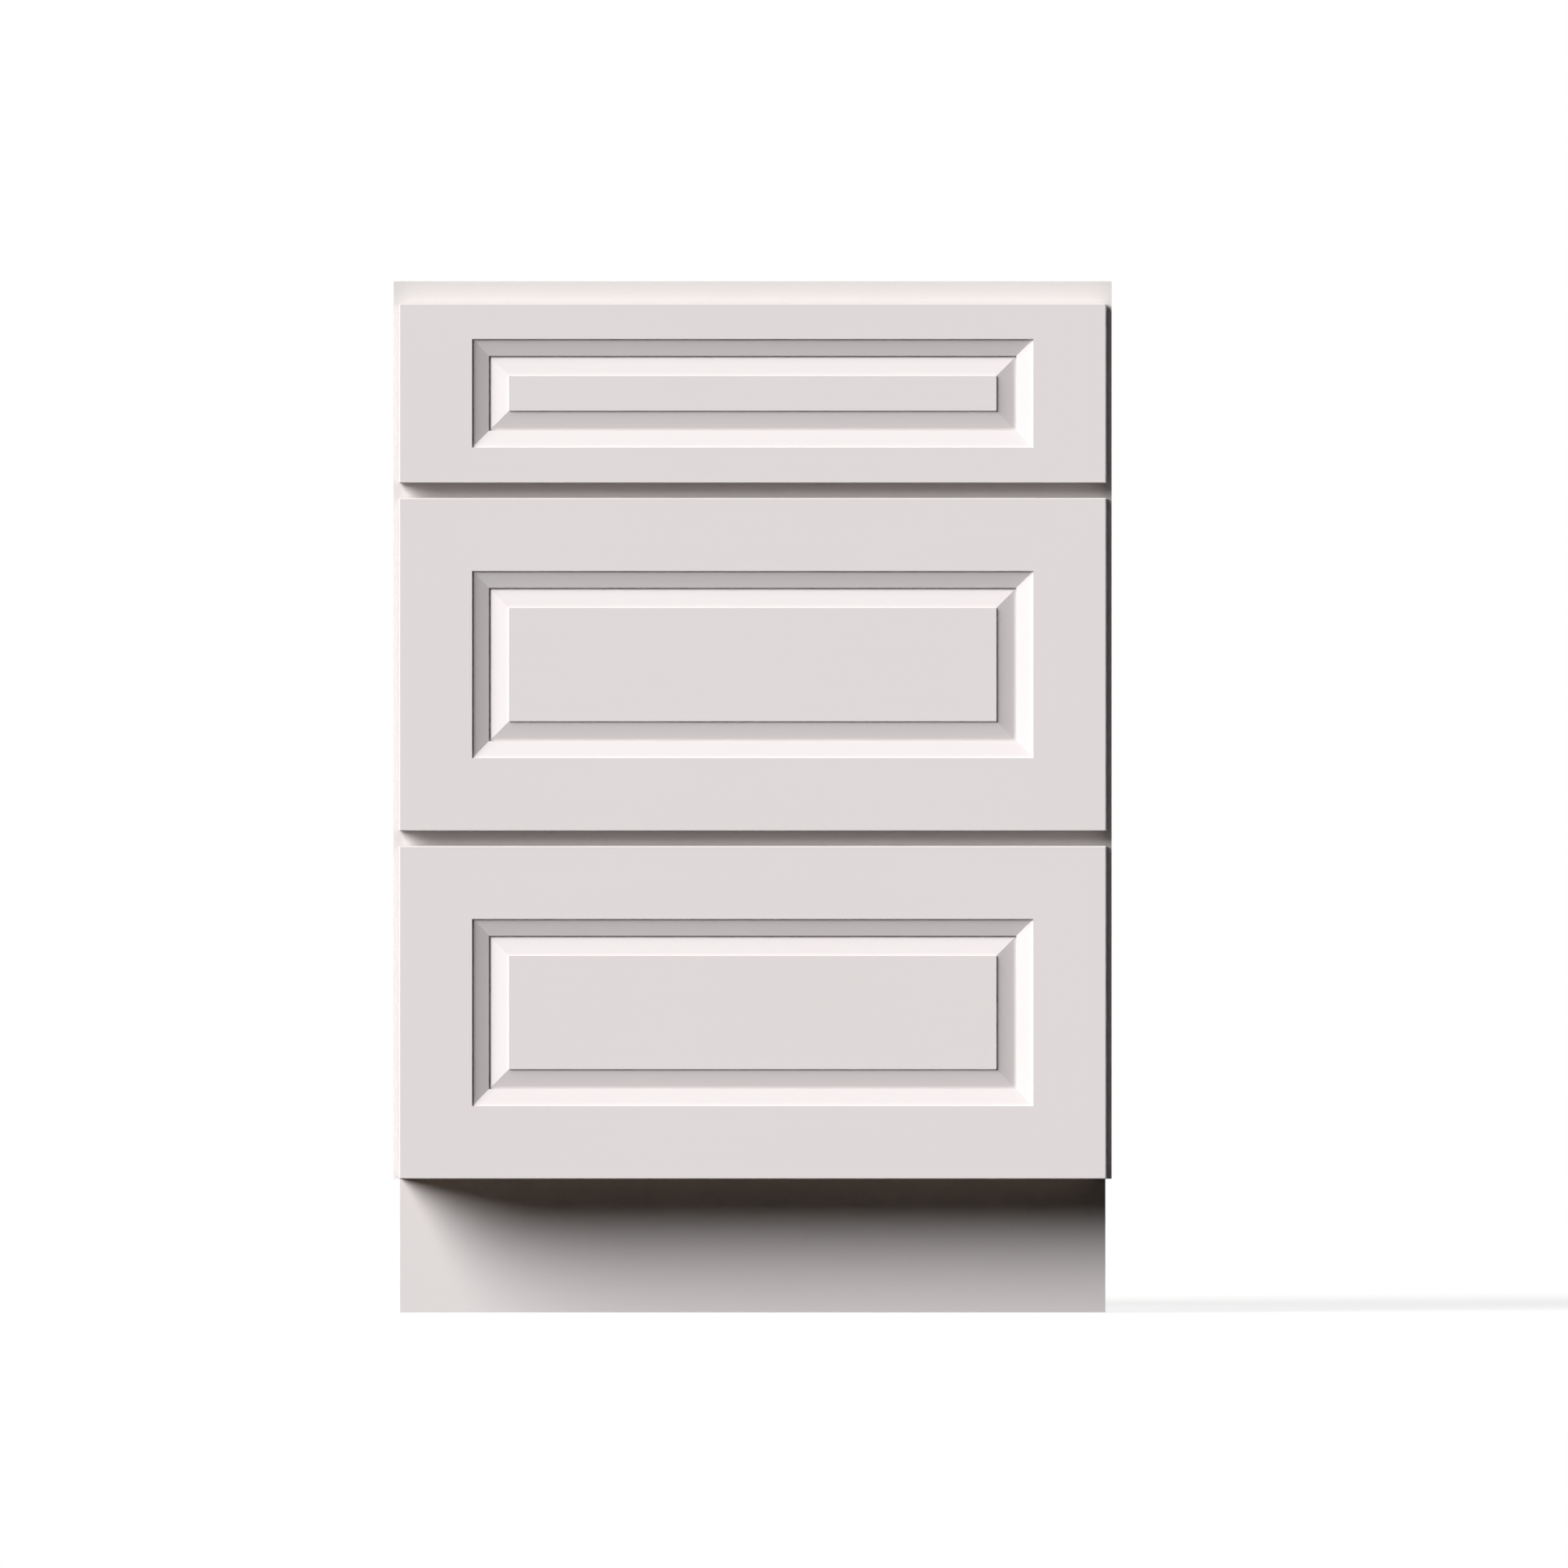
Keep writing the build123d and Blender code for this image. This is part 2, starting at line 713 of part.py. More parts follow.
def make_bumpers(drawer):
    """Four soft pads near the corners of a drawer front, facing the face frame."""
    across = front_half - bumper_inset
    up = drawer.front_height / 2 - bumper_inset
    middle_z = drawer.front_z + drawer.front_height / 2
    with BuildPart() as bumpers:
        with BuildSketch(front_plane(0, front_back_y, middle_z)):
            with GridLocations(2 * across, 2 * up, 2, 2):
                Circle(bumper_radius)
        extrude(amount=bumper_play - bumper_gap)
    return bumpers


def tails(drawer, end_y, base_y):
    """Dovetail outlines in the open sketch, wide at their ends and narrow at their base."""
    count = int(drawer.box_height // tail_pitch)
    pitch = drawer.box_height / count
    half_end = (pitch - pin_width) / 2
    half_base = half_end - abs(end_y - base_y) * tail_slope
    for index in range(count):
        middle = drawer.box_z + (index + 0.5) * pitch
        Polygon(
            (end_y, middle - half_end),
            (end_y, middle + half_end),
            (base_y, middle + half_base),
            (base_y, middle - half_base),
            align=None,
        )


def make_box_sides(drawer):
    """The sides of a drawer box, with tails at both ends and a groove for the bottom."""
    groove_z = drawer.box_z + bottom_recess
    with BuildPart() as sides:
        with BuildSketch(Plane.YZ.offset(-box_half)):
            span(
                box_inner_front_y,
                box_inner_rear_y,
                drawer.box_z,
                drawer.box_z + drawer.box_height,
            )
            tails(drawer, front_back_y + dovetail_lap, box_inner_front_y)
            tails(drawer, box_rear_y - dovetail_lap, box_inner_rear_y)
        extrude(amount=box_thickness)
        fillet(sides.edges().filter_by(Axis.Y).group_by(Axis.Z)[-1], radius=box_edge_radius)
        with BuildSketch(Plane.YZ.offset(-box_inner_half)):
            span(front_back_y, box_rear_y, groove_z, groove_z + bottom_thickness + bottom_play)
        extrude(amount=-box_groove_depth, mode=Mode.SUBTRACT)
        mirror(about=Plane.YZ)
    return sides


def make_box_end(drawer, outer_y, inner_y):
    """The front or back of a drawer box, with sockets for the tails and a groove for the bottom."""
    inwards = 1 if inner_y > outer_y else -1
    groove_half = box_inner_half + box_groove_depth
    groove_z = drawer.box_z + bottom_recess
    with BuildPart() as end:
        with BuildSketch(Plane.XY.offset(drawer.box_z)):
            span(-box_half, box_half, min(outer_y, inner_y), max(outer_y, inner_y))
        extrude(amount=drawer.box_height)
        fillet(end.edges().filter_by(Axis.X).group_by(Axis.Z)[-1], radius=box_edge_radius)
        for socket_x in (-box_half, box_inner_half):
            with BuildSketch(Plane.YZ.offset(socket_x)):
                tails(drawer, outer_y + inwards * dovetail_lap, inner_y)
            extrude(amount=box_thickness, mode=Mode.SUBTRACT)
        with BuildSketch(Plane.XZ.offset(-inner_y)):
            span(-groove_half, groove_half, groove_z, groove_z + bottom_thickness + bottom_play)
        extrude(amount=inwards * box_groove_depth, mode=Mode.SUBTRACT)
    return end


def make_box_front(drawer):
    """The box front, bored for the screws of the drawer front and of the locking devices."""
    with BuildPart() as box_front:
        add(make_box_end(drawer, front_back_y, box_inner_front_y).part)
        with BuildSketch(*both_sides(front_seats(drawer))):
            RegularPolygon(pilot_radius, screw_sides)
        extrude(amount=-box_thickness, mode=Mode.SUBTRACT)
        with BuildSketch(*both_sides(lock_seats(drawer))):
            RegularPolygon(lock_pilot_radius, screw_sides)
        extrude(amount=-(lock_screw_length + pilot_overrun), mode=Mode.SUBTRACT)
    return box_front


def make_box_back(drawer):
    """The box back, notched over the slides and bored for their hooks."""
    with BuildPart() as box_back:
        add(make_box_end(drawer, box_rear_y, box_inner_rear_y).part)
        with BuildSketch(slide_plane(box_rear_y, drawer)):
            span(box_thickness, rail_out + notch_room, 0, bottom_recess)
            with Locations((rail_middle, hook_height)):
                Circle(hook_radius + slide_play)
            mirror(about=Plane.YZ.offset(box_half))
        extrude(amount=box_thickness, mode=Mode.SUBTRACT)
    return box_back


def make_box_bottom(drawer):
    """The plywood bottom, held in the grooves all round."""
    tongue = box_groove_depth - bottom_play
    across = box_inner_half + tongue
    with BuildPart() as bottom:
        with BuildSketch(Plane.XY.offset(drawer.box_z + bottom_recess)):
            span(-across, across, box_inner_front_y - tongue, box_inner_rear_y + tongue)
        extrude(amount=bottom_thickness)
    return bottom


def make_lock_housings(drawer):
    """The locking device housings: a plate, a screwed flange and a headed pivot for the lever."""
    pivot_x = pivot_across - box_half
    seat = lever_top + slide_play
    head = lever_low - slide_play
    with BuildPart() as housings:
        with BuildSketch(Plane.XY.offset(drawer.box_z + bottom_recess)):
            span(
                lock_near - box_half,
                lock_far - box_half,
                box_inner_front_y,
                box_inner_front_y + lock_length,
            )
        extrude(amount=-lock_wall)
        with BuildSketch(slide_plane(box_inner_front_y, drawer)):
            span(lock_near, lock_far, lock_clear, bottom_recess)
        extrude(amount=-lock_wall)
        with BuildSketch(front_plane(pivot_x, pivot_y, drawer.box_z)):
            Polygon(
                (0, lock_plate),
                (pivot_boss_radius, lock_plate),
                (pivot_boss_radius, seat),
                (pivot_radius, seat),
                (pivot_radius, head),
                (pivot_head_radius, head),
                (pivot_head_radius, head - pivot_head_height),
                (0, head - pivot_head_height),
                align=None,
            )
        revolve(axis=Axis((pivot_x, pivot_y, 0), (0, 0, 1)))
        with BuildSketch(*lock_seats(drawer)):
            RegularPolygon(lock_pilot_radius, screw_sides)
        extrude(amount=-lock_wall, mode=Mode.SUBTRACT)
        mirror(about=Plane.YZ)
    return housings


def make_lever(drawer):
    """The left-hand release lever: a tooth for the slide's slot, a hub and a finger tab."""
    pivot = (pivot_across - box_half, pivot_y)
    tooth_root = (lock_near + lever_arm_width / 2 + slide_play - box_half, tooth_y)
    finger = (pivot[0] + finger_run, pivot_y + finger_reach)
    with BuildPart() as lever:
        with BuildSketch(Plane.XY.offset(drawer.box_z + lever_low)):
            with Locations(pivot):
                Circle(lever_hub_radius)
            arm(pivot, tooth_root, lever_arm_width)
            arm(pivot, finger, lever_arm_width)
            span(
                tooth_tip - box_half,
                tooth_root[0],
                tooth_y - tooth_width / 2,
                tooth_y + tooth_width / 2,
            )
            with Locations(finger):
                Circle(finger_radius)
            with Locations(pivot):
                Circle(pivot_radius + pivot_play, mode=Mode.SUBTRACT)
        extrude(amount=lever_thickness)
        with BuildSketch(Plane.XY.offset(drawer.box_z + lever_low)):
            with Locations(finger):
                Circle(finger_radius)
        extrude(amount=-finger_drop)
    return lever


def make_right_lever(lever):
    """The right-hand release lever, a mirror image of the left."""
    with BuildPart() as right_lever:
        mirror(lever.part, about=Plane.YZ)
    return right_lever


def make_drawer_screws(drawer):
    """The screws of a drawer: four for its front and two for each locking device."""
    with BuildPart() as screws:
        with Locations(*front_seats(drawer)):
            add(front_screw.part)
        with Locations(*lock_seats(drawer)):
            add(lock_screw.part)
        mirror(about=Plane.YZ)
    return screws


save(side_panel_left, "side_panel_left")
save(side_panel_right, "side_panel_right")
save(bottom_panel, "bottom_panel")
save(back_panel, "back_panel")
save(toe_kick_board, "toe_kick_board")
save(hanging_rails, "hanging_rails")
save(corner_braces, "corner_braces")
save(frame_stile_left, "frame_stile_left")
save(frame_stile_right, "frame_stile_right")
save(frame_top_rail, "frame_top_rail")
save(frame_upper_rail, "frame_upper_rail")
save(frame_lower_rail, "frame_lower_rail")
save(frame_bottom_rail, "frame_bottom_rail")
save(carcass_screws, "carcass_screws")
save(slide_rear_brackets, "slide_rear_brackets")

for drawer in drawers:
    left_lever = make_lever(drawer)
    save(make_front_stiles(drawer), f"{drawer.name}_front_stiles")
    save(make_front_rails(drawer), f"{drawer.name}_front_rails")
    save(make_front_panel(drawer), f"{drawer.name}_front_panel")
    save(make_bumpers(drawer), f"{drawer.name}_bumpers")
    save(make_box_sides(drawer), f"{drawer.name}_box_sides")
    save(make_box_front(drawer), f"{drawer.name}_box_front")
    save(make_box_back(drawer), f"{drawer.name}_box_back")
    save(make_box_bottom(drawer), f"{drawer.name}_box_bottom")
    save(make_runners(drawer), f"{drawer.name}_runners")
    save(make_glides(drawer), f"{drawer.name}_glides")
    save(make_slide_members(drawer), f"{drawer.name}_slide_members")
    save(make_lock_housings(drawer), f"{drawer.name}_lock_housings")
    save(left_lever, f"{drawer.name}_lever_left")
    save(make_right_lever(left_lever), f"{drawer.name}_lever_right")
    save(make_drawer_screws(drawer), f"{drawer.name}_screws")
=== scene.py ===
import math
import bpy
from mathutils import Matrix, Vector


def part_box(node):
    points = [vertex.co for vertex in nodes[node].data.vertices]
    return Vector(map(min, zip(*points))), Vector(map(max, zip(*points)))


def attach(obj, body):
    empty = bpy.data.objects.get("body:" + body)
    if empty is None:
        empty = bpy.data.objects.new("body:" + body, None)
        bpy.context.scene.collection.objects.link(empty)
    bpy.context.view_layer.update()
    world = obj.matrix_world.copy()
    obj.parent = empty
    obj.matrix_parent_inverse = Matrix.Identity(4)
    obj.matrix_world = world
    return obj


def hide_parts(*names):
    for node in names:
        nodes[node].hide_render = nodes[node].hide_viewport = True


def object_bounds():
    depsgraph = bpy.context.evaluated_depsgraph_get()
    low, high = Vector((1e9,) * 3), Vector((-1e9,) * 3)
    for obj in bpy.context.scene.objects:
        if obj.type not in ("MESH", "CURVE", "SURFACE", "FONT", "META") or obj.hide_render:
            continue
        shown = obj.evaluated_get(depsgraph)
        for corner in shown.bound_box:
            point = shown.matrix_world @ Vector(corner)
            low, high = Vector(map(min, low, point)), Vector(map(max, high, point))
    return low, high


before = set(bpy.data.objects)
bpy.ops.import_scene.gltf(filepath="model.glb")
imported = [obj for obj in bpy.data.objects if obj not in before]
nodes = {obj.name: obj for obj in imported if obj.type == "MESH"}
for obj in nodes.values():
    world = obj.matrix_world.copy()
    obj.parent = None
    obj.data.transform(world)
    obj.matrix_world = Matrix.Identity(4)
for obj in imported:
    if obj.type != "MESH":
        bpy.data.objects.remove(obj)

cadLow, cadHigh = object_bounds()
drawerNames = ("top_drawer", "middle_drawer", "bottom_drawer")
widthAxis, depthAxis, heightAxis = 0, 1, 2
print("frame loaded:", len(nodes), "pieces")


# Shader maths: a Wire is a socket that can be added, scaled and compared like a number
class Wire:
    def __init__(self, finish, socket):
        self.finish = finish
        self.socket = socket

    def maths(self, operation, first, second=0.0):
        return self.finish.node("ShaderNodeMath", {"operation": operation}, {0: first, 1: second})

    def __add__(self, other):
        return self.maths("ADD", self, other)

    def __radd__(self, other):
        return self.maths("ADD", other, self)

    def __sub__(self, other):
        return self.maths("SUBTRACT", self, other)

    def __rsub__(self, other):
        return self.maths("SUBTRACT", other, self)

    def __mul__(self, other):
        return self.maths("MULTIPLY", self, other)

    def __rmul__(self, other):
        return self.maths("MULTIPLY", other, self)

    def __gt__(self, other):
        return self.maths("GREATER_THAN", self, other)

    def __lt__(self, other):
        return self.maths("LESS_THAN", self, other)

    def __mod__(self, other):
        return self.maths("FLOORED_MODULO", self, other)

    def __abs__(self):
        return self.maths("ABSOLUTE", self)

    def __floor__(self):
        return self.maths("FLOOR", self)


# A sheet of shader nodes: a material's own, or the sky's
class Finish:
    def __init__(self, owner):
        self.material = owner
        owner.use_nodes = True
        self.tree = owner.node_tree
        self.shader = self.tree.nodes.get("Principled BSDF")

    # any node: its type, its own settings, then the values or links of its sockets
    def node(self, kind, settings=None, sockets=None, output=0):
        made = self.tree.nodes.new(kind)
        for key, value in (settings or {}).items():
            setattr(made, key, value)
        for key, value in (sockets or {}).items():
            self.join(made.inputs[key], value)
        return Wire(self, made.outputs[output])

    def join(self, socket, value):
        if isinstance(value, Wire):
            self.tree.links.new(value.socket, socket)
        elif isinstance(value, tuple) and len(value) == 3 and socket.type == "RGBA":
            socket.default_value = (*value, 1.0)
        else:
            socket.default_value = value

    def surface(self, **sockets):
        for key, value in sockets.items():
            self.join(self.shader.inputs[key], value)

    def place(self):
        return self.node("ShaderNodeTexCoord", output="Object")

    def facing(self):
        return self.axes(self.node("ShaderNodeTexCoord", output="Normal"))

    def axes(self, vector):
        split = self.tree.nodes.new("ShaderNodeSeparateXYZ")
        self.join(split.inputs[0], vector)
        return [Wire(self, output) for output in split.outputs]

    def mapped(self, vector, move=(0.0, 0.0, 0.0), turn=(0.0, 0.0, 0.0), scale=(1.0, 1.0, 1.0)):
        sockets = {"Vector": vector, "Location": move, "Rotation": turn, "Scale": scale}
        return self.node("ShaderNodeMapping", None, sockets)

    def noise(self, vector, scale, detail=3.0, roughness=0.5):
        sockets = {"Vector": vector, "Scale": scale, "Detail": detail, "Roughness": roughness}
        return self.node("ShaderNodeTexNoise", None, sockets)

    # noise drawn out along one axis, as grain and rolling lines are
    def drawnNoise(self, vector, axis, across, along, detail=2.0, roughness=0.5, move=(0.0, 0.0, 0.0)):
        stretch = [across] * 3
        stretch[axis] = along
        return self.noise(self.mapped(vector, move=move, scale=tuple(stretch)), 1.0, detail, roughness)

    # the Mix node's colours are its inputs 6 and 7 and its output 2
    def blend(self, amount, first, second):
        sockets = {"Factor": amount, 6: first, 7: second}
        return self.node("ShaderNodeMix", {"data_type": "RGBA"}, sockets, output=2)

    # the height is in metres
    def bump(self, height):
        return self.node("ShaderNodeBump", None, {"Height": height, "Distance": 1.0, "Strength": 1.0})


# Sprayed paint on the face frame, the fronts and the toe board, and rolled paint on the cabinet's sides;
# the face frame's tone is a darker copy of the fronts' paint as painted shade, and the sides' tone is
# darker partly as a skin tone and partly as painted shade
paint = {
    "colour": (0.750, 0.706, 0.705),
    "deepColour": (0.728, 0.683, 0.682),
    # the face frame's tone: a darker copy of the fronts' paint, painted shade for the reveals and the gaps
    # between the fronts
    "frameShadeColour": (0.705, 0.672, 0.658),
    "frameShadeDeepColour": (0.684, 0.650, 0.637),
    # the sides' tone: darker than the fronts' paint, partly a side skin's own tone and partly painted
    # shade that keeps the key-lit side below white
    "sideShadeColour": (0.722, 0.680, 0.678),
    "sideShadeDeepColour": (0.672, 0.630, 0.628),
    "cloud": {"scale": 5.0, "detail": 3.0},
    "cloudShare": 0.7,
    "cloudRoughness": 0.04,
    "peel": {"scale": 620.0, "detail": 2.0},
    "peelRoughness": 0.06,
    "peelDepth": 0.00002,
    "fibres": {"across": 420.0, "along": 9.0, "detail": 2.0},
    "fibreShare": 0.3,
    "fibreDepth": 0.00001,
    "roughness": 0.41,
    "specular": 0.08,
    "sideSpecular": 0.2,
}


def paintLayer(finish, grain, colour, deepColour):
    place = finish.place()
    fibres = finish.drawnNoise(place, grain, **paint["fibres"])
    peel = finish.noise(place, **paint["peel"])
    cloud = finish.noise(place, **paint["cloud"])
    shade = cloud * paint["cloudShare"] + fibres * paint["fibreShare"]
    mixed = finish.blend(shade, colour, deepColour)
    roughness = paint["roughness"] + peel * paint["peelRoughness"] + cloud * paint["cloudRoughness"]
    height = peel * paint["peelDepth"] + fibres * paint["fibreDepth"]
    return mixed, roughness, height


def paintFinish(name, grain, colour, deepColour):
    finish = Finish(bpy.data.materials.new(name))
    mixed, roughness, height = paintLayer(finish, grain, colour, deepColour)
    finish.surface(**{"Base Color": mixed, "Roughness": roughness, "Normal": finish.bump(height)})
    finish.surface(**{"Specular IOR Level": paint["specular"]})
    return finish.material


# Maple under clear lacquer: growth rings round a heart beside the board, colour bands, streaks and pores
maple = {
    "light": (0.745, 0.595, 0.410),
    "dark": (0.585, 0.420, 0.255),
    "toneDrop": 0.22,
    "heartAside": (0.11, 0.066, 0.11),
    "heartLean": (0.07, 0.049, 0.091),
    "ringScale": 52.0,
    "ringWarp": 3.2,
    "ringDetail": 3.0,
    "ringDetailScale": 0.3,
    "ringDetailRoughness": 0.55,
    "ringShare": 0.60,
    "cutSteps": (90.0, 70.0, 110.0),   # how far a board's cut moves its bands, streaks and pores
    "bands": {"across": 16.0, "along": 0.9, "detail": 3.0, "roughness": 0.55},
    "bandShare": 0.42,
    "streaks": {"across": 150.0, "along": 3.0, "detail": 4.0, "roughness": 0.6},
    "streakShare": 0.40,
    "streakRoughness": 0.1,
    "pores": {"across": 1500.0, "along": 45.0, "detail": 2.0, "roughness": 0.6},
    "poreShare": 0.16,
    "poreDepth": 0.000025,
    "endFacing": 0.7,
    "endShade": (0.40, 0.27, 0.155),
    "endShare": 0.35,
    "endPoreShare": 0.4,
    "endRoughness": 0.2,
    "roughness": 0.40,
    "coat": 0.14,
    "coatRoughness": 0.3,
}


# grain is the axis that the fibres follow, and cut is where in the log the board lay
def mapleLayer(finish, grain, cut):
    place = finish.place()
    asideX, asideY, asideZ = maple["heartAside"]
    aside = [asideX + cut, asideY - cut, asideZ - cut]
    aside[grain] = 0.0
    lean = list(maple["heartLean"])
    lean[grain] = 0.0
    ringSockets = {
        "Vector": finish.mapped(place, move=tuple(aside), turn=tuple(lean)),
        "Scale": maple["ringScale"],
        "Distortion": maple["ringWarp"],
        "Detail": maple["ringDetail"],
        "Detail Scale": maple["ringDetailScale"],
        "Detail Roughness": maple["ringDetailRoughness"],
    }
    settings = {"wave_type": "RINGS", "rings_direction": "XYZ"[grain], "wave_profile": "SAW"}
    rings = finish.node("ShaderNodeTexWave", settings, ringSockets, output="Fac")
    shift = tuple(cut * step for step in maple["cutSteps"])
    bands = finish.drawnNoise(place, grain, **maple["bands"], move=shift)
    streaks = finish.drawnNoise(place, grain, **maple["streaks"], move=shift)
    pores = finish.drawnNoise(place, grain, **maple["pores"], move=shift)
    tone = rings * bands * maple["ringShare"] + bands * maple["bandShare"]
    tone = tone + streaks * maple["streakShare"] + pores * maple["poreShare"] - maple["toneDrop"]
    colour = finish.blend(tone, maple["light"], maple["dark"])
    endGrain = abs(finish.facing()[grain]) > maple["endFacing"]
    endTone = endGrain * (maple["endShare"] + pores * maple["endPoreShare"])
    colour = finish.blend(endTone, colour, maple["endShade"])
    roughness = maple["roughness"] + streaks * maple["streakRoughness"] + endGrain * maple["endRoughness"]
    return colour, roughness, pores * maple["poreDepth"]


def mapleFinish(name, grain, cut):
    finish = Finish(bpy.data.materials.new(name))
    colour, roughness, height = mapleLayer(finish, grain, cut)
    finish.surface(**{"Base Color": colour, "Roughness": roughness, "Normal": finish.bump(height)})
    finish.surface(**{"Coat Weight": maple["coat"], "Coat Roughness": maple["coatRoughness"]})
    return finish.material


# Plywood: the same maple on its faces, and the plies on its cut edges
plywood = {
    "longPly": (0.63, 0.46, 0.29),
    "crossPly": (0.40, 0.265, 0.15),
    "crossShare": 0.8,
    "plyPair": 0.0042,
    "glue": (0.22, 0.135, 0.07),
    "glueWidth": 0.12,   # as a share of one ply
    "glueShare": 0.75,
    "fibres": {"scale": 900.0, "detail": 3.0, "roughness": 0.7},
    "fibreShare": 0.2,
    "fibreDepth": 0.00006,
    "edgeFacing": 0.5,
    "edgeRoughness": 0.25,
}


def plyEdge(finish, thickness, low, high):
    place = finish.place()
    plies = 2 * round((high - low) / plywood["plyPair"]) + 1
    layer = (finish.axes(place)[thickness] - low) * (plies / (high - low))
    crossing = (math.floor(layer) % 2.0) > 0.5   # every second ply
    glue = (layer % 1.0 < plywood["glueWidth"]) * plywood["glueShare"]
    fibres = finish.noise(place, **plywood["fibres"])
    shade = crossing * plywood["crossShare"] + fibres * plywood["fibreShare"]
    colour = finish.blend(shade, plywood["longPly"], plywood["crossPly"])
    return finish.blend(glue, colour, plywood["glue"]), fibres


def plywoodFinish(name, grain, thickness, low, high, cut):
    finish = Finish(bpy.data.materials.new(name))
    face, roughness, height = mapleLayer(finish, grain, cut)
    edge, fibres = plyEdge(finish, thickness, low, high)
    onEdge = abs(finish.facing()[thickness]) < plywood["edgeFacing"]
    colour = finish.blend(onEdge, face, edge)
    roughness = roughness + onEdge * plywood["edgeRoughness"]
    height = height + onEdge * fibres * plywood["fibreDepth"]
    coat = maple["coat"] * (1 - onEdge)
    finish.surface(**{"Base Color": colour, "Roughness": roughness, "Normal": finish.bump(height)})
    finish.surface(**{"Coat Weight": coat, "Coat Roughness": maple["coatRoughness"]})
    return finish.material


# Side panels: painted outside, lacquered maple inside, plies at the top, back and foot
def sideFinish(name, outward, low, high, cut):
    finish = Finish(bpy.data.materials.new(name))
    # the outside paint is the sides' darker tone, partly a skin tone and partly painted shade against the
    # key lamp
    tones = (paint["sideShadeColour"], paint["sideShadeDeepColour"])
    paintColour, paintRough, paintHeight = paintLayer(finish, heightAxis, *tones)
    face, woodRough, woodHeight = mapleLayer(finish, heightAxis, cut)
    edge, fibres = plyEdge(finish, widthAxis, low, high)
    facing = finish.facing()[widthAxis] * outward
    painted = facing > plywood["edgeFacing"]
    onEdge = abs(facing) < plywood["edgeFacing"]
    wood = finish.blend(onEdge, face, edge)
    colour = finish.blend(painted, wood, paintColour)
    roughness = woodRough + painted * (paintRough - woodRough) + onEdge * plywood["edgeRoughness"]
    height = woodHeight * (1 - painted) + paintHeight * painted + onEdge * fibres * plywood["fibreDepth"]
    finish.surface(**{"Base Color": colour, "Roughness": roughness, "Normal": finish.bump(height)})
    finish.surface(**{"Specular IOR Level": paint["sideSpecular"]})
    return finish.material


# Zinc on rolled steel: faint crystals, rolling lines along the slide, dull patches
zinc = {
    "bright": (0.70, 0.71, 0.72),
    "dull": (0.52, 0.535, 0.55),
    "crystalScale": 210.0,
    "crystalShare": 0.35,
    "crystalRoughness": 0.05,
    "patches": {"scale": 26.0, "detail": 4.0, "roughness": 0.6},
    "patchShare": 0.65,
    "patchRoughness": 0.14,
    "lines": {"across": 2400.0, "along": 12.0, "detail": 2.0},
    "lineRoughness": 0.08,
    "lineDepth": 0.000012,
    "roughness": 0.22,
}


def zincFinish(name, along):
    finish = Finish(bpy.data.materials.new(name))
    place = finish.place()
    crystalSockets = {"Vector": place, "Scale": zinc["crystalScale"]}
    crystal = finish.axes(finish.node("ShaderNodeTexVoronoi", None, crystalSockets, output="Color"))[0]
    lines = finish.drawnNoise(place, along, **zinc["lines"])
    patches = finish.noise(place, **zinc["patches"])
    shade = crystal * zinc["crystalShare"] + patches * zinc["patchShare"]
    colour = finish.blend(shade, zinc["bright"], zinc["dull"])
    roughness = zinc["roughness"] + patches * zinc["patchRoughness"]
    roughness = roughness + crystal * zinc["crystalRoughness"] + lines * zinc["lineRoughness"]
    finish.surface(**{"Base Color": colour, "Roughness": roughness, "Metallic": 1.0})
    finish.surface(Normal=finish.bump(lines * zinc["lineDepth"]))
    return finish.material


# Moulded plastic: fine spark texture, flow marks and slightly worn sheen
plastic = {
    "spark": {"scale": 2600.0, "detail": 2.0, "roughness": 0.6},
    "sparkShare": 0.25,
    "sparkRoughness": 0.08,
    "sparkDepth": 0.00003,
    "flowStretch": (30.0, 90.0, 55.0),
    "flowShare": 0.75,
    "flowRoughness": 0.06,
}
braceNylon = {
    "colour": (0.64, 0.63, 0.605),
    "deepColour": (0.57, 0.56, 0.53),
    "roughness": 0.48,
    "gloss": 0.2,
}
housingNylon = {
    "colour": (0.215, 0.22, 0.225),
    "deepColour": (0.165, 0.17, 0.175),
    "roughness": 0.43,
    "gloss": 0.4,
}
leverPlastic = {
    "colour": (0.44, 0.45, 0.46),
    "deepColour": (0.37, 0.38, 0.39),
    "roughness": 0.35,
    "gloss": 0.4,
}


def plasticFinish(name, tones):
    finish = Finish(bpy.data.materials.new(name))
    place = finish.place()
    spark = finish.noise(place, **plastic["spark"])
    flow = finish.noise(finish.mapped(place, scale=plastic["flowStretch"]), 1.0)
    shade = flow * plastic["flowShare"] + spark * plastic["sparkShare"]
    colour = finish.blend(shade, tones["colour"], tones["deepColour"])
    roughness = tones["roughness"] + spark * plastic["sparkRoughness"] + flow * plastic["flowRoughness"]
    finish.surface(**{"Base Color": colour, "Roughness": roughness, "Specular IOR Level": tones["gloss"]})
    finish.surface(Normal=finish.bump(spark * plastic["sparkDepth"]))
    return finish.material


# Clear soft pads behind the fronts
padGel = {
    "clear": (0.86, 0.87, 0.87),
    "cloudy": (0.70, 0.72, 0.73),
    "haze": {"scale": 420.0, "detail": 3.0},
    "hazeRoughness": 0.2,
    "roughness": 0.22,
    "transmission": 0.55,
    "refraction": 1.42,
}


def padFinish(name):
    finish = Finish(bpy.data.materials.new(name))
    haze = finish.noise(finish.place(), **padGel["haze"])
    colour = finish.blend(haze, padGel["clear"], padGel["cloudy"])
    roughness = padGel["roughness"] + haze * padGel["hazeRoughness"]
    finish.surface(**{"Base Color": colour, "Roughness": roughness})
    finish.surface(**{"Transmission Weight": padGel["transmission"], "IOR": padGel["refraction"]})
    return finish.material


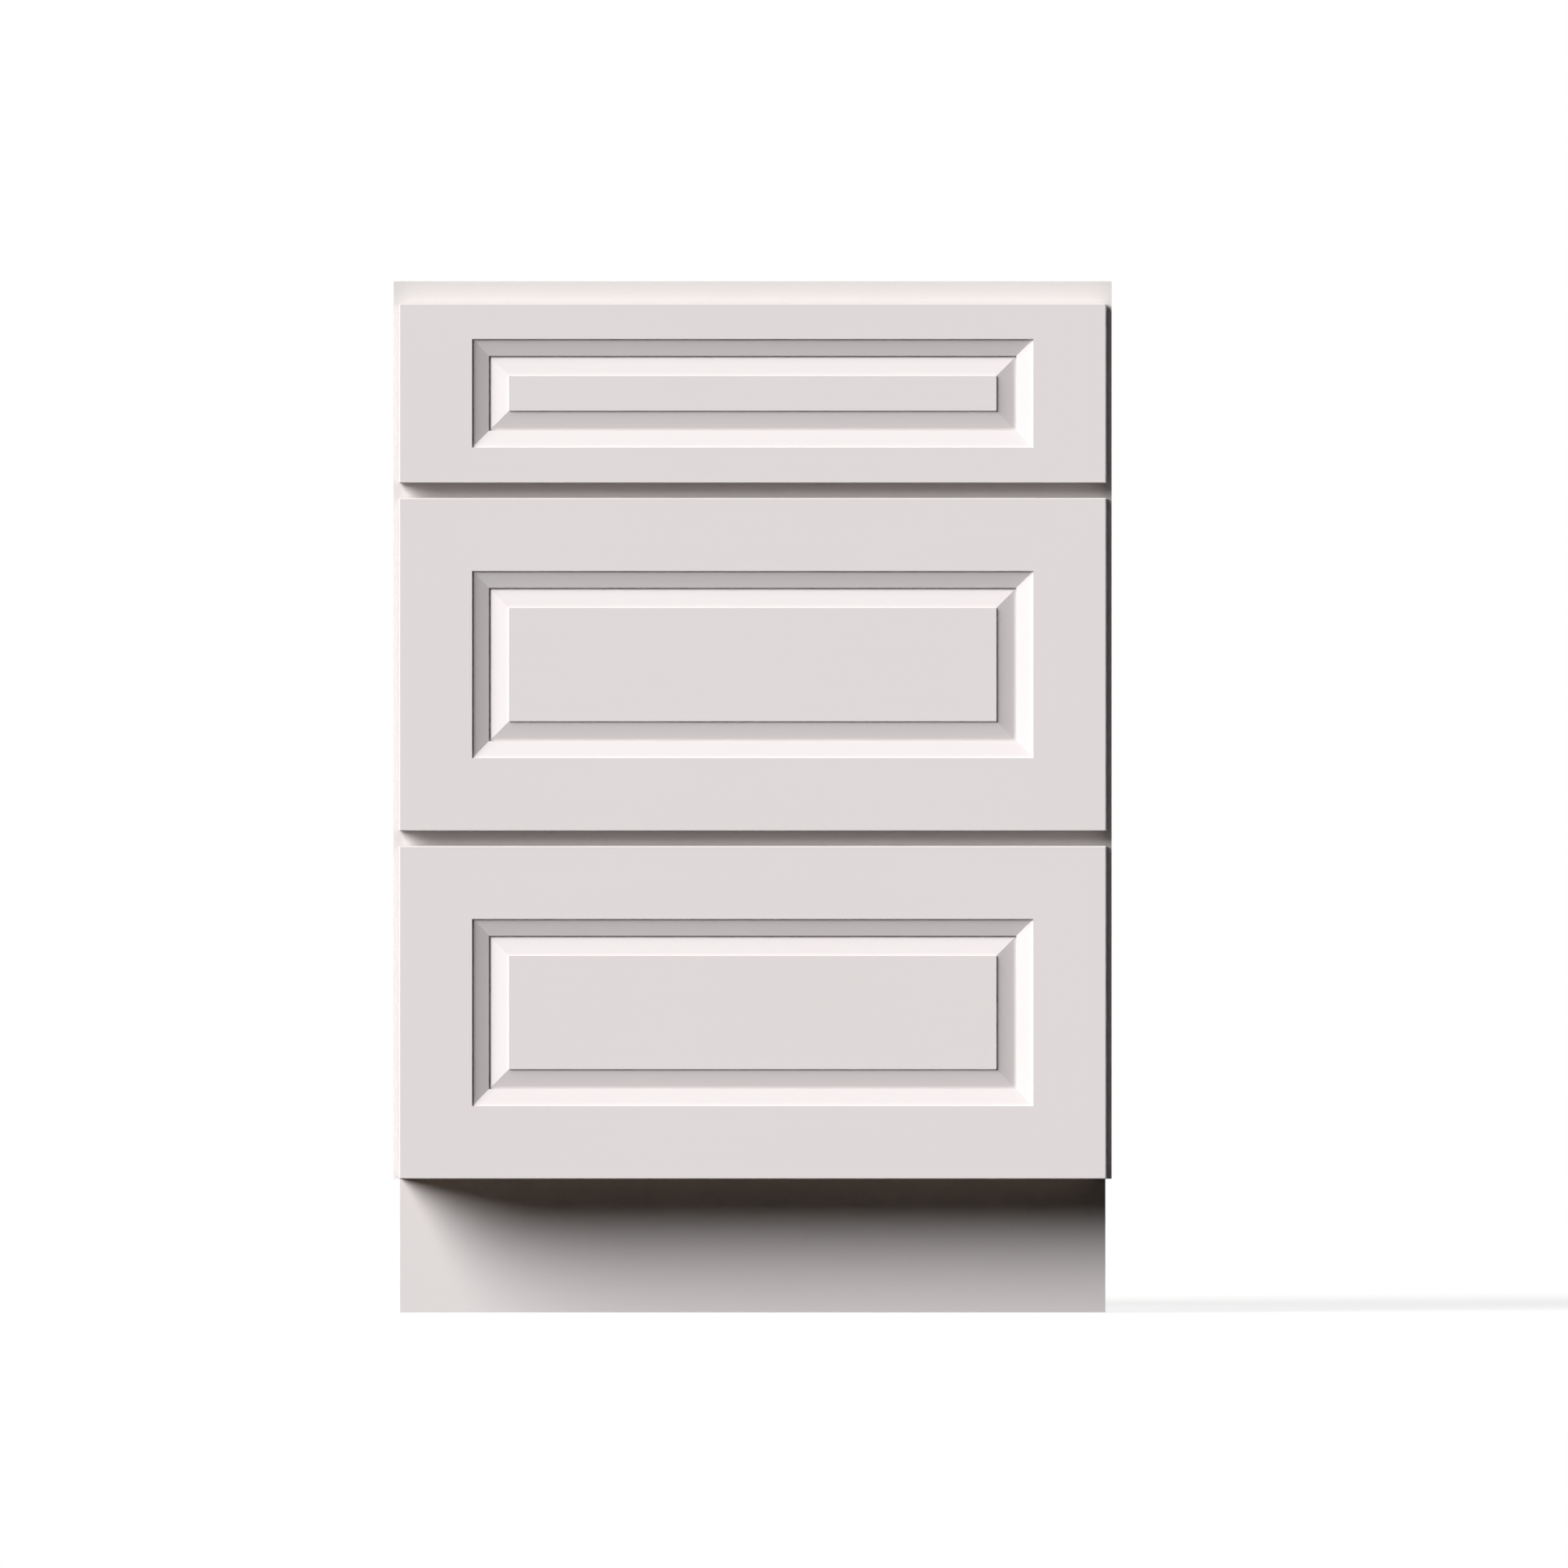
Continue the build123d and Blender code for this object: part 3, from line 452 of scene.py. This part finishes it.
# Screw steel: bright zinc with fine marks and dull patches
screwZinc = {
    "bright": (0.66, 0.655, 0.63),
    "dull": (0.42, 0.415, 0.40),
    "marks": {"scale": 3200.0, "detail": 3.0, "roughness": 0.6},
    "markShare": 0.4,
    "markRoughness": 0.14,
    "markDepth": 0.00001,
    "patches": {"scale": 240.0, "detail": 3.0},
    "patchShare": 0.6,
    "patchRoughness": 0.08,
    "roughness": 0.24,
}


def screwFinish(name):
    finish = Finish(bpy.data.materials.new(name))
    place = finish.place()
    marks = finish.noise(place, **screwZinc["marks"])
    patches = finish.noise(place, **screwZinc["patches"])
    shade = patches * screwZinc["patchShare"] + marks * screwZinc["markShare"]
    colour = finish.blend(shade, screwZinc["bright"], screwZinc["dull"])
    roughness = screwZinc["roughness"] + marks * screwZinc["markRoughness"]
    roughness = roughness + patches * screwZinc["patchRoughness"]
    finish.surface(**{"Base Color": colour, "Roughness": roughness, "Metallic": 1.0})
    finish.surface(Normal=finish.bump(marks * screwZinc["markDepth"]))
    return finish.material


def dress(node, material):
    slots = nodes[node].data.materials
    slots.clear()
    slots.append(material)


def boardFinish(name, node, grain, thickness, cut):
    low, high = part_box(node)
    dress(node, plywoodFinish(name, grain, thickness, low[thickness], high[thickness], cut))


paintAcross = paintFinish("paintAcross", widthAxis, paint["colour"], paint["deepColour"])
paintUpright = paintFinish("paintUpright", heightAxis, paint["colour"], paint["deepColour"])
# the face frame gets the darker copy of the paint, as painted shade in its reveals and gaps
frameShadedAcross = paintFinish("frameShadedAcross", widthAxis, paint["frameShadeColour"], paint["frameShadeDeepColour"])
frameShadedUpright = paintFinish("frameShadedUpright", heightAxis, paint["frameShadeColour"], paint["frameShadeDeepColour"])
zincSteel = zincFinish("zincSteel", depthAxis)
nylonWhite = plasticFinish("nylonWhite", braceNylon)
nylonGrey = plasticFinish("nylonGrey", housingNylon)
leverGrey = plasticFinish("leverGrey", leverPlastic)
clearPad = padFinish("clearPad")
screwSteel = screwFinish("screwSteel")

# Where in the log each board was cut, so that no two figures are alike
cuts = {
    "leftSide": -0.03,
    "rightSide": 0.03,
    "bottom": 0.02,
    "back": 0.05,
    "hangingRails": -0.04,
    "drawerStep": 0.013,
    "boxFront": 0.021,
    "boxBack": -0.034,
    "boxBottom": 0.047,
}

for node in ("frame_stile_left", "frame_stile_right"):
    dress(node, frameShadedUpright)
for node in ("frame_top_rail", "frame_upper_rail", "frame_lower_rail", "frame_bottom_rail"):
    dress(node, frameShadedAcross)
dress("toe_kick_board", paintAcross)
for node, outward, side in (("side_panel_left", -1, "leftSide"), ("side_panel_right", 1, "rightSide")):
    low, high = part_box(node)
    dress(node, sideFinish(node + "Finish", outward, low.x, high.x, cuts[side]))
boardFinish("bottomPly", "bottom_panel", widthAxis, heightAxis, cuts["bottom"])
boardFinish("backPly", "back_panel", heightAxis, depthAxis, cuts["back"])
boardFinish("hangingPly", "hanging_rails", widthAxis, depthAxis, cuts["hangingRails"])
for node in ("corner_braces", "slide_rear_brackets"):
    dress(node, nylonWhite)
for index, name in enumerate(drawerNames):
    cut = cuts["drawerStep"] * (index + 1)
    dress(name + "_front_stiles", paintUpright)
    dress(name + "_front_rails", paintAcross)
    dress(name + "_front_panel", paintAcross)
    dress(name + "_box_sides", mapleFinish(name + "SideMaple", depthAxis, cut))
    dress(name + "_box_front", mapleFinish(name + "FrontMaple", widthAxis, cut + cuts["boxFront"]))
    dress(name + "_box_back", mapleFinish(name + "BackMaple", widthAxis, cut + cuts["boxBack"]))
    boardFinish(name + "BottomPly", name + "_box_bottom", depthAxis, heightAxis, cut + cuts["boxBottom"])
    for steelPiece in ("_runners", "_glides", "_slide_members"):
        dress(name + steelPiece, zincSteel)
    dress(name + "_lock_housings", nylonGrey)
    dress(name + "_lever_left", leverGrey)
    dress(name + "_lever_right", leverGrey)
print("finishes made:", len(bpy.data.materials))


# Separate solids of a node, each as its list of corners; what meets within a micrometre is one solid
def loosePieces(node):
    mesh = nodes[node].data
    links = {}

    def root(key):
        while links[key] != key:
            key = links[key]
        return key

    for polygon in mesh.polygons:
        keys = [tuple(round(x, 6) for x in mesh.vertices[i].co) for i in polygon.vertices]
        for key in keys:
            links.setdefault(key, key)
        for key in keys[1:]:
            links[root(key)] = root(keys[0])
    groups = {}
    for key in links:
        groups.setdefault(root(key), []).append(Vector(key))
    return list(groups.values())


def boxOf(corners):
    low = Vector([min(c[k] for c in corners) for k in range(3)])
    high = Vector([max(c[k] for c in corners) for k in range(3)])
    return low, high


def deselectAll():
    bpy.ops.object.select_all(action="DESELECT")


def facesUp(face):
    return face.normal.z > 0.5


def facesDown(face):
    return face.normal.z < -0.5


# Leaves the piece in edit mode with the faces that pass the test selected
def selectFaces(piece, test):
    bpy.ops.object.mode_set(mode="EDIT")
    bpy.ops.mesh.select_mode(type="FACE")
    bpy.ops.mesh.select_all(action="DESELECT")
    bpy.ops.object.mode_set(mode="OBJECT")
    for polygon in piece.data.polygons:
        polygon.select = test(polygon)
    bpy.ops.object.mode_set(mode="EDIT")


def extrudeDown(depth):
    bpy.ops.mesh.extrude_region_move(TRANSFORM_OT_translate={"value": (0.0, 0.0, -depth)})


def scaleAcross(share):
    bpy.ops.transform.resize(value=(share, share, 1.0), center_override=(0.0, 0.0, 0.0))


def applyModifiers(piece):
    bpy.context.view_layer.objects.active = piece
    for modifier in list(piece.modifiers):
        bpy.ops.object.modifier_apply(modifier=modifier.name)


# Pan-head screws with a cross recess and a threaded shank
screw = {
    "sides": 24,
    "wideFrom": 0.0035,   # head radius above which a screw is a wide one
    "wide": {"headHeight": 0.0022, "shankRadius": 0.0018},
    "narrow": {"headHeight": 0.0015, "shankRadius": 0.0014},
    "domeShare": 0.42,
    "domeSteps": 4,
    "recessWidth": 0.29,
    "recessReach": 1.15,
    "recessDepth": 0.78,
    "recessTaper": 0.5,
    "threadPitch": 0.0016,
    "threadRoot": 0.74,
    "tipLength": 0.0026,
    "tipShare": 0.08,
}


def crossCutter(headRadius, headHeight):
    cutters = []
    depth = headHeight * screw["recessDepth"]
    for turn in (0.0, math.pi / 2):
        deselectAll()
        bpy.ops.mesh.primitive_cube_add(size=1.0, location=(0.0, 0.0, 0.0))
        cutter = bpy.context.object
        cutter.scale = (headRadius * screw["recessReach"], headRadius * screw["recessWidth"], depth * 2)
        cutter.rotation_euler = (0.0, 0.0, turn)
        bpy.ops.object.transform_apply(location=True, rotation=True, scale=True)
        selectFaces(cutter, facesDown)
        scaleAcross(screw["recessTaper"])
        bpy.ops.object.mode_set(mode="OBJECT")
        cutters.append(cutter)
    return cutters


# Head up at the origin, shank down
def modelScrew(headRadius, headHeight, shankRadius, length):
    deselectAll()
    bpy.ops.mesh.primitive_cylinder_add(
        vertices=screw["sides"], radius=headRadius, depth=headHeight, location=(0.0, 0.0, -headHeight / 2)
    )
    piece = bpy.context.object
    bpy.ops.object.transform_apply(location=True)
    selectFaces(piece, facesUp)
    bpy.ops.mesh.bevel(offset=headHeight * screw["domeShare"], segments=screw["domeSteps"], affect="EDGES")
    selectFaces(piece, facesDown)
    bpy.ops.mesh.inset(thickness=headRadius - shankRadius)
    straight = length - headHeight - screw["tipLength"]
    turns = int(straight / screw["threadPitch"])
    for _ in range(turns):
        for change in (screw["threadRoot"], 1 / screw["threadRoot"]):   # in to the root, out to the crest
            extrudeDown(straight / turns / 2)
            scaleAcross(change)
    extrudeDown(screw["tipLength"])
    scaleAcross(screw["tipShare"])
    bpy.ops.object.mode_set(mode="OBJECT")
    cutters = crossCutter(headRadius, headHeight)
    for cutter in cutters:
        modifier = piece.modifiers.new("recess", "BOOLEAN")
        modifier.operation = "DIFFERENCE"
        modifier.solver = "EXACT"
        modifier.object = cutter
    applyModifiers(piece)
    for cutter in cutters:
        bpy.data.objects.remove(cutter)
    return piece


# The middle of a screw's head, the way it faces, its length and its head radius
def screwSeat(corners):
    low, high = boxOf(corners)
    spans = high - low
    along = max(range(3), key=lambda k: spans[k])
    middle = (low + high) / 2

    def reach(corner):
        aside = corner - middle
        aside[along] = 0.0
        return aside.length

    widest = max(corners, key=reach)
    facing = Vector((0.0, 0.0, 0.0))
    facing[along] = 1.0 if widest[along] > middle[along] else -1.0
    middle[along] = high[along] if facing[along] > 0 else low[along]
    return middle, facing, spans[along], reach(widest)


smoothDegrees = 32.0


# Copies of one model, each set in its seat, joined into one piece and smoothed
def setCopies(name, placed):
    copies = []
    for model, seat, facing in placed:
        copy = bpy.data.objects.new(name, model.data.copy())
        bpy.context.scene.collection.objects.link(copy)
        turn = facing.to_track_quat("Z", "Y").to_matrix().to_4x4()
        copy.data.transform(Matrix.Translation(seat) @ turn)
        copies.append(copy)
    deselectAll()
    for copy in copies:
        copy.select_set(True)
    bpy.context.view_layer.objects.active = copies[0]
    bpy.ops.object.join()
    piece = bpy.context.object
    piece.name = name
    bpy.ops.object.shade_smooth_by_angle(angle=math.radians(smoothDegrees))
    return piece


screwModels = {}


def screwSet(name, node, body):
    placed = []
    for corners in loosePieces(node):
        seat, facing, length, headRadius = screwSeat(corners)
        size = "wide" if headRadius > screw["wideFrom"] else "narrow"
        key = (size, round(length, 4))
        if key not in screwModels:
            screwModels[key] = modelScrew(headRadius, length=length, **screw[size])
        placed.append((screwModels[key], seat, facing))
    piece = setCopies(name, placed)
    piece.data.materials.append(screwSteel)
    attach(piece, body)
    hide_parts(node)
    return len(placed)


screwCount = screwSet("carcassScrewSet", "carcass_screws", "carcass")
for name in drawerNames:
    screwCount += screwSet(name + "ScrewSet", name + "_screws", name)
for model in screwModels.values():
    bpy.data.objects.remove(model)
print("screws set:", screwCount)


# Domed soft pads behind the drawer fronts
pad = {"segments": 28, "rings": 14, "rimShare": 0.35}


# Half a ball, flattened, on a straight rim that stands on the origin
def modelPad(radius, height):
    deselectAll()
    bpy.ops.mesh.primitive_uv_sphere_add(segments=pad["segments"], ring_count=pad["rings"], radius=radius)
    piece = bpy.context.object
    rim = height * pad["rimShare"]
    piece.scale = (1.0, 1.0, (height - rim) / radius)
    bpy.ops.object.transform_apply(location=True, rotation=True, scale=True)
    bpy.ops.object.mode_set(mode="EDIT")
    bpy.ops.mesh.select_all(action="SELECT")
    bpy.ops.mesh.bisect(
        plane_co=(0.0, 0.0, 0.0), plane_no=(0.0, 0.0, 1.0), use_fill=True, clear_inner=True
    )
    selectFaces(piece, facesDown)
    extrudeDown(rim)
    bpy.ops.mesh.select_all(action="SELECT")
    bpy.ops.transform.translate(value=(0.0, 0.0, rim))
    bpy.ops.object.mode_set(mode="OBJECT")
    return piece


for name in drawerNames:
    placed = []
    for corners in loosePieces(name + "_bumpers"):
        low, high = boxOf(corners)
        if not placed:
            padModel = modelPad((high.x - low.x) / 2, high.y - low.y)
        seat = Vector(((low.x + high.x) / 2, low.y, (low.z + high.z) / 2))
        placed.append((padModel, seat, Vector((0.0, 1.0, 0.0))))
    pads = setCopies(name + "PadSet", placed)
    bpy.data.objects.remove(padModel)
    pads.data.materials.append(clearPad)
    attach(pads, name)
    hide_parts(name + "_bumpers")
print("pads set")

# White paper floor: it shows the background's white and the shadow, and throws little light back
floor = {"size": 14.0, "below": 0.0004, "bounce": 0.01, "shown": 0.20, "glow": 0.82}
deselectAll()
bpy.ops.mesh.primitive_plane_add(size=floor["size"], location=(0.0, 0.0, cadLow.z - floor["below"]))
floorPlane = bpy.context.object
floorPlane.name = "floorPlane"


# 1 where the camera, a reflection or a clear piece looks straight at the background
def seenDirectly(finish):
    seen = finish.node("ShaderNodeLightPath", output="Is Camera Ray")
    for kind in ("Is Glossy Ray", "Is Transmission Ray"):
        seen = seen.maths("MAXIMUM", seen, finish.node("ShaderNodeLightPath", output=kind))
    return seen


floorFinish = Finish(bpy.data.materials.new("floorPaper"))
dim = floorFinish.node("ShaderNodeBsdfDiffuse", None, {"Color": (floor["bounce"],) * 3})
shown = floorFinish.node("ShaderNodeBsdfDiffuse", None, {"Color": (floor["shown"],) * 3})
glow = floorFinish.node("ShaderNodeEmission", None, {"Color": (1.0, 1.0, 1.0), "Strength": floor["glow"]})
paper = floorFinish.node("ShaderNodeAddShader", None, {0: shown, 1: glow})
layers = floorFinish.node("ShaderNodeMixShader", None, {0: seenDirectly(floorFinish), 1: dim, 2: paper})
floorFinish.join(floorFinish.tree.nodes["Material Output"].inputs["Surface"], layers)
floorPlane.data.materials.append(floorFinish.material)

# Soft key from the upper left, and a second soft lamp behind that never reaches the fronts' faces
keyLamp = {"toward": (-0.684, -0.526, 0.505), "strength": 5.87, "spreadDegrees": 44.0}
rearLamp = {"toward": (0.60, 0.79, 0.10), "strength": 4.0, "spreadDegrees": 20.0}


def sunLamp(name, lamp):
    data = bpy.data.lights.new(name, "SUN")
    data.energy = lamp["strength"]
    data.angle = math.radians(lamp["spreadDegrees"])
    made = bpy.data.objects.new(name, data)
    made.rotation_euler = Vector(lamp["toward"]).to_track_quat("Z", "Y").to_euler()
    bpy.context.scene.collection.objects.link(made)


sunLamp("keyLamp", keyLamp)
sunLamp("rearLamp", rearLamp)

# White where it is looked at, and next to nothing as a light
sky = {"ambient": 0.004}
bpy.context.scene.world = bpy.data.worlds.new("studioSky")
skySheet = Finish(bpy.context.scene.world)
skyLevel = sky["ambient"] + seenDirectly(skySheet) * (1.0 - sky["ambient"])
background = skySheet.tree.nodes["Background"]
background.inputs["Color"].default_value = (1.0, 1.0, 1.0, 1.0)
skySheet.join(background.inputs["Strength"], skyLevel)

# A long lens, square to the fronts, as the photograph is
view = {
    "lens": 1000.0,
    "sensor": 36.0,
    "frameWidth": 1.3306,
    "aimX": 0.0266,
    "aimZ": 0.4495,
    "farthest": 200.0,
}
cameraData = bpy.data.cameras.new("viewCamera")
cameraData.lens = view["lens"]
cameraData.sensor_width = view["sensor"]
cameraData.clip_end = view["farthest"]
camera = bpy.data.objects.new("viewCamera", cameraData)
away = view["frameWidth"] * view["lens"] / view["sensor"]
camera.location = (view["aimX"], cadLow.y - away, view["aimZ"])
camera.rotation_euler = (math.radians(90.0), 0.0, 0.0)
bpy.context.scene.collection.objects.link(camera)
bpy.context.scene.camera = camera
bpy.context.scene.view_settings.view_transform = "Standard"
print("floor, lamps and camera ready")
